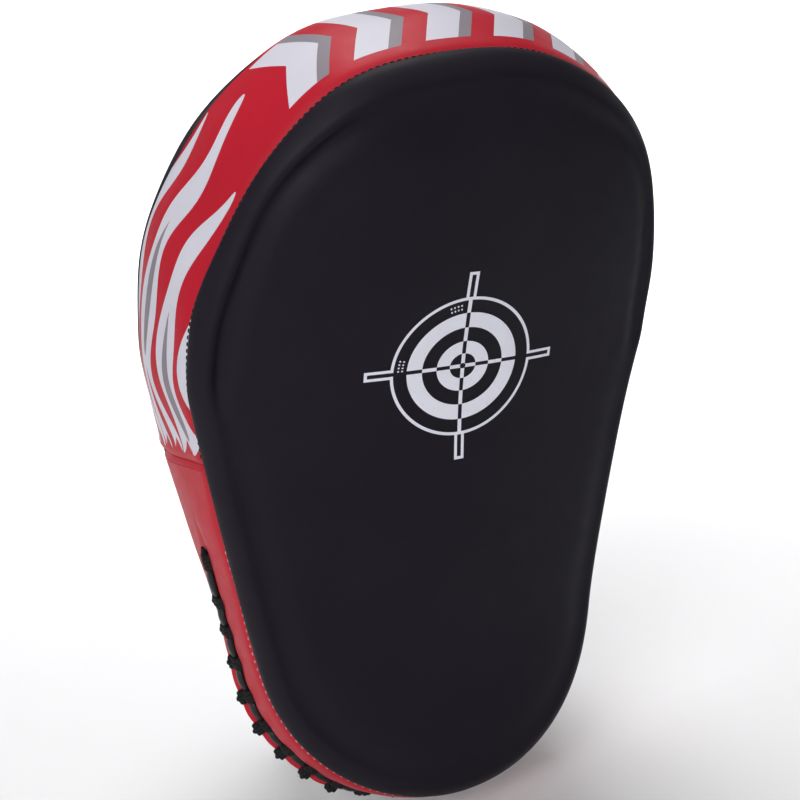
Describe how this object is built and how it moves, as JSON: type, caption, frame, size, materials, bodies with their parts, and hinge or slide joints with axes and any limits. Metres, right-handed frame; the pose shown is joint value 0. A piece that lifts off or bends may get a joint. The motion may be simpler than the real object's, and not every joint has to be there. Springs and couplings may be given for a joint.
{
  "type": "focus mitt",
  "caption": "Curved leather focus mitt with a crowned padded striking face, laced side wall, finger hood, thumb sleeve and hook-and-loop wrist cuff.",
  "frame": {"origin": "middle of the palm, on the back of the pad", "axes": "+X to the right seen from the striking face, +Y towards the back, +Z from the wrist end to the finger end"},
  "size_m": [0.178, 0.1416, 0.2844],
  "materials": {
    "face_leather": "smooth satin black leather, printed target",
    "wall_leather": "semi-gloss red leather, printed upper half",
    "back_leather": "satin black leather",
    "trim_leather": "satin black edge binding and strap leather",
    "palm_suede": "matte napped leather",
    "dense_foam": "closed-cell foam",
    "soft_foam": "open soft foam",
    "lining_fabric": "woven lining",
    "elastic": "ribbed woven elastic",
    "loop_tape": "loop pile",
    "hook_tape": "hook tape",
    "lace": "waxed cord"
  },
  "bodies": {
    "mitt": {"strike_face": "face_leather", "side_wall_printed": "wall_leather", "side_gusset": "wall_leather", "rear_strip_left": "wall_leather", "rear_strip_right": "wall_leather", "back_panel": "back_leather", "face_foam": "dense_foam", "core_foam": "soft_foam", "rear_foam": "soft_foam", "lace_cord": "lace", "lace_knots": "lace", "lace_end_knots": "lace", "finger_hood": "back_leather", "hood_padding": "soft_foam", "hood_lining": "lining_fabric", "hood_binding": "trim_leather", "thumb_sleeve": "back_leather", "thumb_lining": "lining_fabric", "thumb_binding": "trim_leather", "palm_patch": "palm_suede", "grip_ball_cover": "back_leather", "grip_ball_core": "dense_foam", "cuff_left_cover": "back_leather", "cuff_left_foam": "soft_foam", "cuff_left_lining": "lining_fabric", "cuff_right_cover": "back_leather", "cuff_right_foam": "soft_foam", "cuff_right_lining": "lining_fabric", "strap_anchor": "trim_leather", "loop_patch": "loop_tape"},
    "strap_base": {"strap_elastic": "elastic"},
    "strap_tip": {"strap_leather": "trim_leather", "hook_patch": "hook_tape", "strap_tab": "trim_leather"}
  },
  "joints": [
    {"name": "strap_root_hinge", "type": "hinge", "parent": "mitt", "child": "strap_base", "pos_m": [-0.0468, 0.0062, -0.06], "axis": [0, 0, 1], "range_deg": [0, 80]},
    {"name": "strap_tip_peel", "type": "hinge", "parent": "strap_base", "child": "strap_tip", "pos_m": [-0.0058, 0.0346, -0.06], "axis": [0, 0, 1], "range_deg": [0, 100]}
  ]
}
